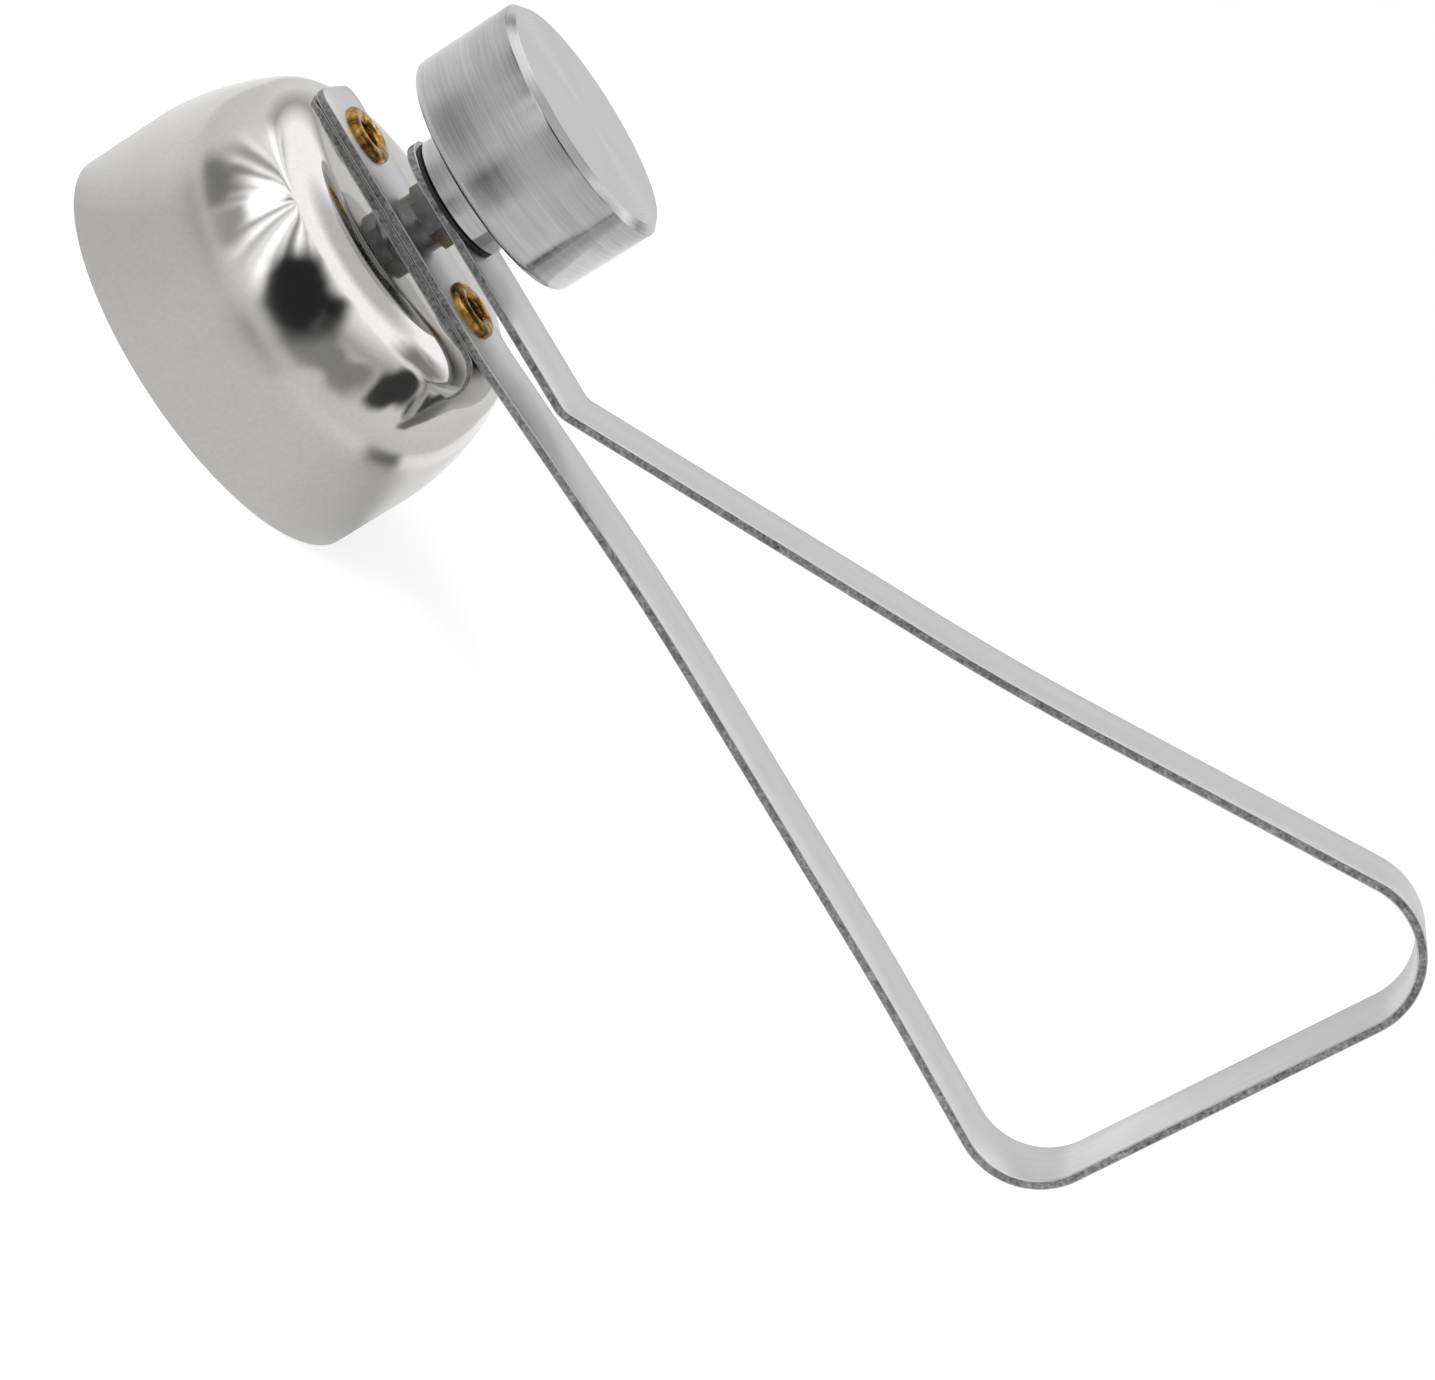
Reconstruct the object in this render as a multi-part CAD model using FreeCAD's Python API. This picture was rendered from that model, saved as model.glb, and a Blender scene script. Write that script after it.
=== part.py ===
"""Egg topper with a squeeze handle: a steel bell, a one-piece strip handle, and a turning claw crown.

Millimetres. The origin is the centre of the bell's rim plane, +Z runs up the bell's axis to the knob,
and +X runs along the handle. The squeezed nose of the strip lifts the knob, the knob draws the claw
crown up into the dome, and the dome closes the claws on the egg. Turning the knob runs the cut round.
"""
import FreeCAD
import Part
import math
import os

from FreeCAD import Vector

# Bell, a deep-drawn cup that stands on its rim
BELL_RIM_R = 23.0
BELL_WALL = 0.8
BELL_HEIGHT = 24.5
BELL_FLANK_H = 8.5
SHOULDER_REACH = 8.4
SHOULDER_R = 6.0
RIM_BREAK = 0.15
INNER_CHORDS = 3

# Handle strip, one bent length of flat steel
STRIP_W = 10.2
STRIP_T = 1.0
HEAD_END = 16.1
HEAD_CORNER_R = 2.0
HEAD_FLAT_END = 15.5
LEG_RISE_X = 45.0
LEG_RISE = 1.75
LEG_LOW_X = 90.0
LEG_LOW_RISE = 1.9
CORNER_C_X = 117.1
CORNER_C_RISE = 1.2
CORNER_C_R = 8.1
CORNER_B_X = 117.6
CORNER_B_Z = 83.9
CORNER_B_R = 8.3
BOW_X = 70.0
BOW_Z = 54.33
BOW_R = 300.0
LEG_BEND_R = 300.0
HEAD_BEND_R = 20.0

# Nose of the strip, which lifts the knob about the fulcrum bend
FULCRUM_X = 23.9
FULCRUM_R = 3.0
NOSE_REACH = 7.0
NOSE_HOLE_R = 2.0
FLEX_CUT = 4.0
FLEX_GAP = 0.08

# Tubular rivets that hold the strip's head on the bell
RIVET_X = 10.2
RIVET_SHANK_R = 1.95
RIVET_BORE_R = 1.45
RIVET_HEAD_R = 3.25
RIVET_HEAD_H = 0.85
RIVET_CLINCH_R = 2.85
RIVET_CLINCH_H = 0.6

# Guide for the draw shaft: flanged bush, washer and hexagon nut
SHAFT_R = 1.5
RUN_CLEARANCE = 0.05
SEAT_CLEARANCE = 0.03
BUSH_R = 2.1
BUSH_FLANGE_R = 4.0
BUSH_FLANGE_H = 0.8
GUIDE_WASHER_R = 3.1
GUIDE_WASHER_H = 1.1
GUIDE_NUT_AF = 6.2
GUIDE_NUT_H = 2.1
NOSE_GAP = 0.28

# Thrust washer and knob
THRUST_R = 6.5
THRUST_H = 0.41
THRUST_GAP = 0.05
COLLAR_R = 6.6
COLLAR_H = 3.95
COLLAR_CHAMFER = 0.3
KNOB_R = 13.3
KNOB_H = 11.9
KNOB_FACE_CHAMFER = 0.8
KNOB_BACK_CHAMFER = 0.8
KNOB_HOLE_DEPTH = 11.5

# Claw crown, pressed from spring steel, clamped on the shaft's lower end
CLAW_T = 0.5
CLAW_COUNT = 8
CLAW_DROP = 5.85
CLAW_ROOT_R = 6.25
CLAW_ROOT_W = 4.3
CLAW_W = 9.4
CLAW_SPREAD = 3.9
CLAW_ELBOW_GAP = 3.3
CLAW_RISE_DEG = 14.0
CLAW_ELBOW_BEND = 4.5
CLAW_WALL_GAP = 2.5
CLAW_TOE_Z = 5.2
CLAW_TOE_BEND = 0.8
CLAW_TAPER_Z = 13.0
CLAW_TOOTH_W = 6.0
CLAW_TOOTH_REACH = 2.8
CLAW_FLEX_GAP = 0.05
SHAFT_SHOULDER_R = 2.6
SHAFT_SHOULDER_H = 0.7
SHAFT_FLATS = 2.4
CLAMP_WASHER_R = 3.4
CLAMP_WASHER_H = 0.6
CLAW_NUT_AF = 5.5
CLAW_NUT_H = 1.9
SHAFT_STUB = 0.2
END_CHAMFER = 0.25

# Places that follow from the bell and the stack
BELL_FLAT_R = BELL_RIM_R - SHOULDER_REACH
BELL_INNER_R = BELL_RIM_R - BELL_WALL
BELL_ROOF_Z = BELL_HEIGHT - BELL_WALL
CLAW_ELBOW_R = BELL_INNER_R - CLAW_ELBOW_GAP
CLAW_WIDE_R = CLAW_ELBOW_R - CLAW_SPREAD
CLAW_TOE_R = BELL_INNER_R - CLAW_WALL_GAP
CLAW_TIP_R = CLAW_TOE_R - CLAW_TOOTH_REACH
CLAW_Z = BELL_ROOF_Z - CLAW_DROP
HEAD_Z = BELL_HEIGHT + STRIP_T / 2
HEAD_TOP_Z = BELL_HEIGHT + STRIP_T
GUIDE_TOP_Z = HEAD_TOP_Z + GUIDE_WASHER_H + GUIDE_NUT_H
NOSE_Z = GUIDE_TOP_Z + NOSE_GAP + STRIP_T / 2
NOSE_TOP_Z = NOSE_Z + STRIP_T / 2
THRUST_Z = NOSE_TOP_Z + THRUST_GAP
COLLAR_Z = THRUST_Z + THRUST_H
KNOB_Z = COLLAR_Z + COLLAR_H
KNOB_TOP_Z = KNOB_Z + KNOB_H
CLAW_TOP_Z = CLAW_Z + CLAW_T / 2
CLAW_UNDER_Z = CLAW_Z - CLAW_T / 2
CLAW_NUT_TOP_Z = CLAW_UNDER_Z - CLAMP_WASHER_H
CLAW_NUT_Z = CLAW_NUT_TOP_Z - CLAW_NUT_H
BUSH_HOLE_R = BUSH_R + RUN_CLEARANCE
RIVET_HOLE_R = RIVET_SHANK_R + RUN_CLEARANCE
Z_AXIS = Vector(0, 0, 1)


def save(node, shape):
    """Write one solid, checked, to its own file."""
    solid = shape.removeSplitter()
    if len(solid.Solids) != 1 or not solid.isValid():
        raise ValueError(node + " is not one valid solid")
    solid.Solids[0].exportStep("parts/" + node + ".step")
    print(node, round(solid.Volume, 2))


def revolved(points):
    """Turn a closed outline of (radius, height) points about the bell's axis."""
    corners = [Vector(radius, 0, height) for radius, height in points]
    outline = Part.makePolygon(corners + corners[:1])
    return Part.Face(outline).revolve(Vector(0, 0, 0), Z_AXIS, 360)


def cylinder(radius, low, high, x=0.0):
    """An upright cylinder between two heights, at x on the handle's line."""
    return Part.makeCylinder(radius, high - low, Vector(x, 0, low))


def hexagon(across_flats, low, high):
    """An upright hexagonal prism with its top corners turned off."""
    corner_r = across_flats / math.sqrt(3)
    corners = []
    for step in range(7):
        angle = math.radians(60 * step)
        corners.append(Vector(corner_r * math.cos(angle), corner_r * math.sin(angle), low))
    prism = Part.Face(Part.makePolygon(corners)).extrude(Vector(0, 0, high - low))
    drop = (corner_r - across_flats / 2) * math.tan(math.radians(30))
    turned = revolved([(0, low), (corner_r, low), (corner_r, high - drop), (across_flats / 2, high), (0, high)])
    return prism.common(turned)


def path_spans(points, radii):
    """Split a bent path into straight ends and tangent arcs, as (start, centre, radius, turn, end)."""
    spans = []
    for before, corner, after, radius in zip(points, points[1:], points[2:], radii):
        arriving = (corner - before).normalize()
        leaving = (after - corner).normalize()
        turn = math.atan2(arriving.x * leaving.z - arriving.z * leaving.x, arriving.dot(leaving))
        side = math.copysign(1.0, turn)
        reach = radius * math.tan(abs(turn) / 2)
        start = corner - arriving * reach
        centre = start + Vector(-arriving.z, 0, arriving.x) * (side * radius)
        spans.append((start, centre, radius, side, corner + leaving * reach, corner))
    return spans


def side_edges(points, radii, offset):
    """Edges of one face of a bent strip, offset to the left of its path in the XZ plane."""
    first = (points[1] - points[0]).normalize()
    last = (points[-1] - points[-2]).normalize()
    here = points[0] + Vector(-first.z, 0, first.x) * offset
    edges = []
    for start, centre, radius, side, end, corner in path_spans(points, radii):
        scale = (radius - side * offset) / radius
        arc_start = centre + (start - centre) * scale
        arc_end = centre + (end - centre) * scale
        arc_mid = centre + (corner - centre).normalize() * (radius - side * offset)
        edges.append(Part.LineSegment(here, arc_start).toShape())
        edges.append(Part.Arc(arc_start, arc_mid, arc_end).toShape())
        here = arc_end
    stop = points[-1] + Vector(-last.z, 0, last.x) * offset
    edges.append(Part.LineSegment(here, stop).toShape())
    return edges, stop


def bent_strip(points, radii, thickness, width):
    """A flat strip bent along a path in the XZ plane, centred on y = 0."""
    left, left_stop = side_edges(points, radii, thickness / 2)
    right, right_stop = side_edges(points, radii, -thickness / 2)
    tip = Part.LineSegment(left_stop, right_stop).toShape()
    root = Part.LineSegment(left[0].Vertexes[0].Point, right[0].Vertexes[0].Point).toShape()
    outline = Part.Wire(Part.__sortEdges__(left + right + [tip, root]))
    face = Part.Face(outline)
    face.translate(Vector(0, -width / 2, 0))
    return face.extrude(Vector(0, width, 0))


def shoulder_spots(offset, chords):
    """Points down each of the shoulder's two arcs: a large one off the flank, a small one to the roof."""
    across = BELL_RIM_R - BELL_FLAT_R
    up = BELL_HEIGHT - BELL_FLANK_H
    large = (across ** 2 + up ** 2 - 2 * up * SHOULDER_R) / (2 * (across - SHOULDER_R))
    meeting = math.atan2(up - SHOULDER_R, large - across)
    arcs = []
    for centre, radius, start, stop in (
        (Vector(BELL_RIM_R - large, 0, BELL_FLANK_H), large - offset, 0, meeting),
        (Vector(BELL_FLAT_R, 0, BELL_HEIGHT - SHOULDER_R), SHOULDER_R - offset, meeting, math.pi / 2),
    ):
        angles = [start + (stop - start) * step / chords for step in range(chords + 1)]
        arcs.append([centre + Vector(math.cos(a), 0, math.sin(a)) * radius for a in angles])
    return arcs


def bell():
    """Drawn cup: straight flank, rounded shoulder and flat top with its three holes."""
    outer_roof = Vector(BELL_FLAT_R, 0, BELL_HEIGHT)
    inner_roof = Vector(BELL_FLAT_R, 0, BELL_ROOF_Z)
    chain = [
        Vector(BELL_RIM_R, 0, BELL_FLANK_H),
        Vector(BELL_RIM_R, 0, RIM_BREAK),
        Vector(BELL_RIM_R - RIM_BREAK, 0, 0),
        Vector(BELL_INNER_R + RIM_BREAK, 0, 0),
        Vector(BELL_INNER_R, 0, RIM_BREAK),
        Vector(BELL_INNER_R, 0, BELL_FLANK_H),
    ]
    cap = [outer_roof, Vector(0, 0, BELL_HEIGHT), Vector(0, 0, BELL_ROOF_Z), inner_roof]
    edges = [Part.Arc(*spots).toShape() for spots in shoulder_spots(0, 2)]
    inner_runs = shoulder_spots(BELL_WALL, INNER_CHORDS)
    for run in (chain, cap, *inner_runs):
        edges += [Part.LineSegment(a, b).toShape() for a, b in zip(run, run[1:])]
    profile = Part.Face(Part.Wire(Part.__sortEdges__(edges)))
    cup = profile.revolve(Vector(0, 0, 0), Z_AXIS, 360)
    return cup.cut(head_holes(BELL_ROOF_Z - 1, BELL_HEIGHT + 1))


def head_holes(low, high):
    """The guide's hole and the two rivet holes, shared by the bell and the strip's head."""
    holes = cylinder(BUSH_HOLE_R, low, high)
    for x in (-RIVET_X, RIVET_X):
        holes = holes.fuse(cylinder(RIVET_HOLE_R, low, high, x))
    return holes


def leg_direction():
    """Unit vector from the fulcrum bend up the squeezed leg."""
    return (Vector(BOW_X, 0, BOW_Z) - Vector(FULCRUM_X, 0, NOSE_Z)).normalize()


def handle_loop():
    """The strip from its riveted head round the loop to the flexing stretch beside the fulcrum."""
    fulcrum = Vector(FULCRUM_X, 0, NOSE_Z)
    points = [
        Vector(-HEAD_END, 0, HEAD_Z),
        Vector(HEAD_FLAT_END, 0, HEAD_Z),
        Vector(LEG_RISE_X, 0, HEAD_Z + LEG_RISE),
        Vector(LEG_LOW_X, 0, HEAD_Z + LEG_LOW_RISE),
        Vector(CORNER_C_X, 0, HEAD_Z + CORNER_C_RISE),
        Vector(CORNER_B_X, 0, CORNER_B_Z),
        Vector(BOW_X, 0, BOW_Z),
        fulcrum + leg_direction() * (FLEX_CUT + FLEX_GAP),
    ]
    radii = [HEAD_BEND_R, LEG_BEND_R, LEG_BEND_R, CORNER_C_R, CORNER_B_R, BOW_R]
    strip = bent_strip(points, radii, STRIP_T, STRIP_W)
    corners = [edge for edge in strip.Edges if is_head_corner(edge)]
    strip = strip.makeFillet(HEAD_CORNER_R, corners)
    return strip.cut(head_holes(BELL_HEIGHT - 1, HEAD_TOP_Z + 1))


def is_head_corner(edge):
    """True for the two upright edges at the head's free end."""
    middle = edge.BoundBox
    return middle.ZLength > STRIP_T / 2 and abs(middle.XMax + HEAD_END) < 0.01 and middle.YLength < 0.01


def squeeze_lever():
    """The strip's nose, holed for the draw shaft, with the fulcrum bend behind it."""
    fulcrum = Vector(FULCRUM_X, 0, NOSE_Z)
    points = [
        fulcrum + leg_direction() * FLEX_CUT,
        fulcrum,
        Vector(-NOSE_REACH, 0, NOSE_Z),
    ]
    strip = bent_strip(points, [FULCRUM_R], STRIP_T, STRIP_W)
    round_r = STRIP_W / 2
    round_x = round_r - NOSE_REACH
    reach = FULCRUM_X + 2 * FLEX_CUT - round_x
    keep = Part.makeBox(reach, STRIP_W, 4 * FLEX_CUT, Vector(round_x, -round_r, NOSE_Z - FLEX_CUT))
    keep = keep.fuse(cylinder(round_r, NOSE_Z - FLEX_CUT, NOSE_Z + FLEX_CUT, round_x))
    hole = cylinder(NOSE_HOLE_R, NOSE_Z - STRIP_T, NOSE_Z + STRIP_T)
    return strip.common(keep).cut(hole)


def rivet(x):
    """Tubular rivet: rolled head on the strip, clinched rim under the bell's roof."""
    head_top = HEAD_TOP_Z + RIVET_HEAD_H
    clinch_z = BELL_ROOF_Z - RIVET_CLINCH_H
    roll = (RIVET_HEAD_R - RIVET_BORE_R) / 3
    curl = (RIVET_CLINCH_R - RIVET_BORE_R) / 3
    tube = revolved([
        (RIVET_BORE_R, clinch_z),
        (RIVET_CLINCH_R - curl, clinch_z),
        (RIVET_CLINCH_R, BELL_ROOF_Z),
        (RIVET_SHANK_R, BELL_ROOF_Z),
        (RIVET_SHANK_R, HEAD_TOP_Z),
        (RIVET_HEAD_R, HEAD_TOP_Z),
        (RIVET_HEAD_R - roll, head_top),
        (RIVET_BORE_R + roll, head_top),
        (RIVET_BORE_R, HEAD_TOP_Z + RIVET_HEAD_H / 3),
    ])
    tube.translate(Vector(x, 0, 0))
    return tube


def guide_bush():
    """Flanged, threaded bush through the roof and the strip, bored to guide the draw shaft."""
    flange_z = BELL_ROOF_Z - BUSH_FLANGE_H
    bore_r = SHAFT_R + RUN_CLEARANCE
    return revolved([
        (bore_r, flange_z),
        (BUSH_FLANGE_R - END_CHAMFER, flange_z),
        (BUSH_FLANGE_R, flange_z + END_CHAMFER),
        (BUSH_FLANGE_R, BELL_ROOF_Z),
        (BUSH_R, BELL_ROOF_Z),
        (BUSH_R, GUIDE_TOP_Z - END_CHAMFER),
        (BUSH_R - END_CHAMFER, GUIDE_TOP_Z),
        (bore_r, GUIDE_TOP_Z),
    ])


def ring(outer_r, inner_r, low, high):
    """A flat washer between two heights."""
    return revolved([(inner_r, low), (outer_r, low), (outer_r, high), (inner_r, high)])


def guide_nut():
    """Hexagon nut that pulls the bush's flange up against the roof."""
    low = HEAD_TOP_Z + GUIDE_WASHER_H
    return hexagon(GUIDE_NUT_AF, low, GUIDE_TOP_Z).cut(cylinder(BUSH_HOLE_R, low - 1, GUIDE_TOP_Z + 1))


def knob():
    """Turned knob and its collar in one piece, with a blind hole for the shaft."""
    hole_r = SHAFT_R + SEAT_CLEARANCE
    hole_top = COLLAR_Z + KNOB_HOLE_DEPTH
    return revolved([
        (hole_r, COLLAR_Z),
        (COLLAR_R - COLLAR_CHAMFER, COLLAR_Z),
        (COLLAR_R, COLLAR_Z + COLLAR_CHAMFER),
        (COLLAR_R, KNOB_Z),
        (KNOB_R - KNOB_BACK_CHAMFER, KNOB_Z),
        (KNOB_R, KNOB_Z + KNOB_BACK_CHAMFER),
        (KNOB_R, KNOB_TOP_Z - KNOB_FACE_CHAMFER),
        (KNOB_R - KNOB_FACE_CHAMFER, KNOB_TOP_Z),
        (0, KNOB_TOP_Z),
        (0, hole_top + hole_r * math.tan(math.radians(30))),
        (hole_r, hole_top),
    ])


def flats_tool(across, low, high):
    """A slab between two parallel flats on the shaft."""
    wide = 4 * SHAFT_R
    return Part.makeBox(wide, across, high - low, Vector(-wide / 2, -across / 2, low))


def draw_shaft():
    """Shaft from the claw nut to the knob, with a shoulder and two driving flats for the crown."""
    bottom = CLAW_NUT_Z - SHAFT_STUB
    top = COLLAR_Z + KNOB_HOLE_DEPTH - SEAT_CLEARANCE
    rod = revolved([
        (0, bottom),
        (SHAFT_R - END_CHAMFER, bottom),
        (SHAFT_R, bottom + END_CHAMFER),
        (SHAFT_R, CLAW_TOP_Z),
        (SHAFT_SHOULDER_R, CLAW_TOP_Z),
        (SHAFT_SHOULDER_R, CLAW_TOP_Z + SHAFT_SHOULDER_H),
        (SHAFT_R, CLAW_TOP_Z + SHAFT_SHOULDER_H),
        (SHAFT_R, top - END_CHAMFER),
        (SHAFT_R - END_CHAMFER, top),
        (0, top),
    ])
    lower = cylinder(2 * SHAFT_R, bottom - 1, CLAW_TOP_Z).cut(flats_tool(SHAFT_FLATS, bottom - 2, CLAW_TOP_Z + 1))
    return rod.cut(lower)


def claw_hub():
    """Middle of the pressed crown: one flat side per finger, and a hole with driving flats."""
    corner_r = CLAW_ROOT_R / math.cos(math.pi / CLAW_COUNT)
    corners = []
    for step in range(CLAW_COUNT + 1):
        angle = 2 * math.pi * step / CLAW_COUNT
        corners.append(Vector(corner_r * math.cos(angle), corner_r * math.sin(angle), CLAW_UNDER_Z))
    plate = Part.Face(Part.makePolygon(corners)).extrude(Vector(0, 0, CLAW_T))
    hole = cylinder(SHAFT_R + SEAT_CLEARANCE, CLAW_UNDER_Z - 1, CLAW_TOP_Z + 1)
    hole = hole.common(flats_tool(SHAFT_FLATS + 2 * SEAT_CLEARANCE, CLAW_UNDER_Z - 2, CLAW_TOP_Z + 2))
    return plate.cut(hole)


def prism_xy(points, low, high):
    """An upright prism on an outline of (x, y) points."""
    corners = [Vector(x, y, low) for x, y in points]
    return Part.Face(Part.makePolygon(corners + corners[:1])).extrude(Vector(0, 0, high - low))


def claw_finger():
    """One finger: rising arm, elbow under the dome, tapered shank and an inward triangular tooth."""
    root_x = CLAW_ROOT_R + CLAW_FLEX_GAP
    rise = math.tan(math.radians(CLAW_RISE_DEG))
    points = [
        Vector(root_x, 0, CLAW_Z),
        Vector(root_x + CLAW_T * 2, 0, CLAW_Z),
        Vector(CLAW_ELBOW_R, 0, CLAW_Z + (CLAW_ELBOW_R - root_x - CLAW_T * 2) * rise),
        Vector(CLAW_TOE_R, 0, CLAW_TOE_Z),
        Vector(CLAW_TIP_R, 0, CLAW_TOE_Z),
    ]
    sheet = bent_strip(points, [CLAW_T * 2, CLAW_ELBOW_BEND, CLAW_TOE_BEND], CLAW_T, CLAW_W)
    half_root = CLAW_ROOT_W / 2
    half = CLAW_W / 2
    half_tooth = CLAW_TOOTH_W / 2
    reach = CLAW_ELBOW_R + CLAW_W
    top = CLAW_Z + CLAW_ELBOW_R
    tooth_top = CLAW_TOE_Z + CLAW_TOE_BEND + CLAW_T
    arm_outline = [
        (root_x, -half_root), (CLAW_WIDE_R, -half), (reach, -half),
        (reach, half), (CLAW_WIDE_R, half), (root_x, half_root),
    ]
    tooth_base = CLAW_TOE_R - CLAW_TOE_BEND
    tooth_outline = [
        (CLAW_TIP_R, 0), (tooth_base, -half_tooth), (reach, -half_tooth),
        (reach, half_tooth), (tooth_base, half_tooth),
    ]
    arm = sheet.common(prism_xy(arm_outline, tooth_top, top))
    shank_corners = [
        Vector(0, -half_tooth, tooth_top), Vector(0, -half, CLAW_TAPER_Z), Vector(0, -half, top),
        Vector(0, half, top), Vector(0, half, CLAW_TAPER_Z), Vector(0, half_tooth, tooth_top),
    ]
    shank = Part.Face(Part.makePolygon(shank_corners + shank_corners[:1])).extrude(Vector(reach, 0, 0))
    tooth = sheet.common(prism_xy(tooth_outline, 0, tooth_top))
    return arm.common(shank).fuse(tooth)


def placed_claw(finger, index):
    """A finger turned to its own side of the hub."""
    turned = finger.copy()
    turned.rotate(Vector(0, 0, 0), Z_AXIS, (index + 0.5) * 360 / CLAW_COUNT)
    return turned


def claw_nut():
    """Hexagon nut that clamps the crown against the shaft's shoulder."""
    nut = hexagon(CLAW_NUT_AF, CLAW_NUT_Z, CLAW_NUT_TOP_Z)
    return nut.cut(cylinder(SHAFT_R + SEAT_CLEARANCE, CLAW_NUT_Z - 1, CLAW_NUT_TOP_Z + 1))


def main():
    os.makedirs("parts", exist_ok=True)
    save("bell", bell())
    save("handle_loop", handle_loop())
    save("squeeze_lever", squeeze_lever())
    save("rivet_tip_side", rivet(-RIVET_X))
    save("rivet_handle_side", rivet(RIVET_X))
    save("guide_bush", guide_bush())
    save("guide_washer", ring(GUIDE_WASHER_R, BUSH_HOLE_R, HEAD_TOP_Z, HEAD_TOP_Z + GUIDE_WASHER_H))
    save("guide_nut", guide_nut())
    save("thrust_washer", ring(THRUST_R, SHAFT_R + RUN_CLEARANCE, THRUST_Z, COLLAR_Z))
    save("knob", knob())
    save("draw_shaft", draw_shaft())
    save("claw_hub", claw_hub())
    clamp_hole_r = SHAFT_R + SEAT_CLEARANCE
    save("claw_clamp_washer", ring(CLAMP_WASHER_R, clamp_hole_r, CLAW_NUT_TOP_Z, CLAW_UNDER_Z))
    save("claw_nut", claw_nut())
    finger = claw_finger()
    for index in range(CLAW_COUNT):
        save("claw_finger_" + str(index + 1), placed_claw(finger, index))


main()
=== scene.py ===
"""Looks of the egg topper: drawn bell, one bent strip, turned knob, brass rivets and claw crown."""

import math

import bmesh
import bpy
from mathutils import Matrix, Vector


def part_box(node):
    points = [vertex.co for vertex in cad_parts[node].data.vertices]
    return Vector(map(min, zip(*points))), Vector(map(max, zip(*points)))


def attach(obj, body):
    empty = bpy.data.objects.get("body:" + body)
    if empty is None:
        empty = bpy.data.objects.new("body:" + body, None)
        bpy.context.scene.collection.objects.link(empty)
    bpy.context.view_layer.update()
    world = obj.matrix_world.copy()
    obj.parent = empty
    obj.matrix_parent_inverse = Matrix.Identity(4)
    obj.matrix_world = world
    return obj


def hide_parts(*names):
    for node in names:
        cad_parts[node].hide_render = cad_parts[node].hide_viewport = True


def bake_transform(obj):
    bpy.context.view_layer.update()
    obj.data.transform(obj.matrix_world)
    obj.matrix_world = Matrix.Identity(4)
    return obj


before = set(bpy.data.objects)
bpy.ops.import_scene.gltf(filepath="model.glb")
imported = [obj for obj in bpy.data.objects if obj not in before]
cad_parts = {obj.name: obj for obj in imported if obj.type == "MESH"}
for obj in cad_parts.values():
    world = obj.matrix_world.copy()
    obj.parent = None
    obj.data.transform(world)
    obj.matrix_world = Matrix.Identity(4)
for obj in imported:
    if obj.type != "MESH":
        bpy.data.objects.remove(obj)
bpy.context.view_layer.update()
MM = 0.001

# Photograph's camera, solved from the outlines
IMAGE_WIDTH_PX = 1435
FOCAL_PX = 3174.2
SENSOR_MM = 36.0
VIEW_AZIMUTH = -4.75
VIEW_ELEVATION = 15.64
VIEW_ROLL = 60.24
CAMERA_PLACE = Vector((30.2, -312.3, 114.9)) * MM

# Faces that meet at more than this keep a crisp edge
SHARP_ANGLE = math.radians(28)

# Strip, as in the construction
STRIP_W = 10.2 * MM
STRIP_T = 1.0 * MM
EDGE_BREAK = 0.14 * MM
HEAD_END_X = -16.1 * MM
HEAD_CORNER_R = 2.0 * MM
HEAD_Z = 25.0 * MM
NOSE_Z = 29.48 * MM
NOSE_END_X = -7.0 * MM
FULCRUM_X = 23.9 * MM
BOW = (70.0 * MM, 54.33 * MM)
CORNER_B = (117.6 * MM, 83.9 * MM)
CORNER_C = (117.1 * MM, 26.2 * MM)
JOIN_Z = 52.0 * MM
HEAD_FLAT_END = (15.5 * MM, HEAD_Z)
LEG_RISE = (45.0 * MM, 26.75 * MM)
LEG_LOW = (90.0 * MM, 26.9 * MM)
FULCRUM_R = 3.0 * MM
BOW_R = 300.0 * MM
CORNER_B_R = 8.3 * MM
CORNER_C_R = 8.1 * MM
HEAD_BEND_R = 20.0 * MM
STATION = 1.5 * MM
ARC_STEP = math.radians(4)
NOSE_HOLE_R = 2.0 * MM
HEAD_HOLE_R = 2.15 * MM
RIVET_X = 10.2 * MM
CORNER_POINTS = 4
SHEARED_SIDES = (CORNER_POINTS - 1, 3 * CORNER_POINTS - 1)
END_STEPS = 16
SHORTEST_STEP = 0.02 * MM
HOLE_SIDES = 64

# Bell and turned pieces
BELL_WALL = 0.8 * MM
BELL_FLANK_H = 8.5 * MM
BELL_FLAT_R = 14.6 * MM
SHOULDER_R = 6.0 * MM
RIM_BREAK = 0.15 * MM
SATIN_BELOW_Z = 8.0 * MM
MIRROR_ABOVE_Z = 19.0 * MM
KNOB_CHAMFER = 0.8 * MM
KNOB_EDGE_SOFT = 0.12 * MM
KNOB_BACK_ROUND = 0.9 * MM
COLLAR_R = 6.6 * MM
COLLAR_CHAMFER = 0.3 * MM
COLLAR_ROOT_R = 0.5 * MM
KNOB_UNDER_Z = 34.39 * MM
RIVET_BORE_R = 1.45 * MM
RIVET_ROLL_H = 0.85 * MM
RIVET_SHANK_R = 1.95 * MM
RIVET_CLINCH_R = 2.85 * MM
RIVET_CLINCH_H = 0.6 * MM
RIVET_LIP_R = 0.3 * MM
RIVET_FUNNEL_H = 0.4 * MM
RIVET_WAVE = -0.012
TURN_STEPS = 256

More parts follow.
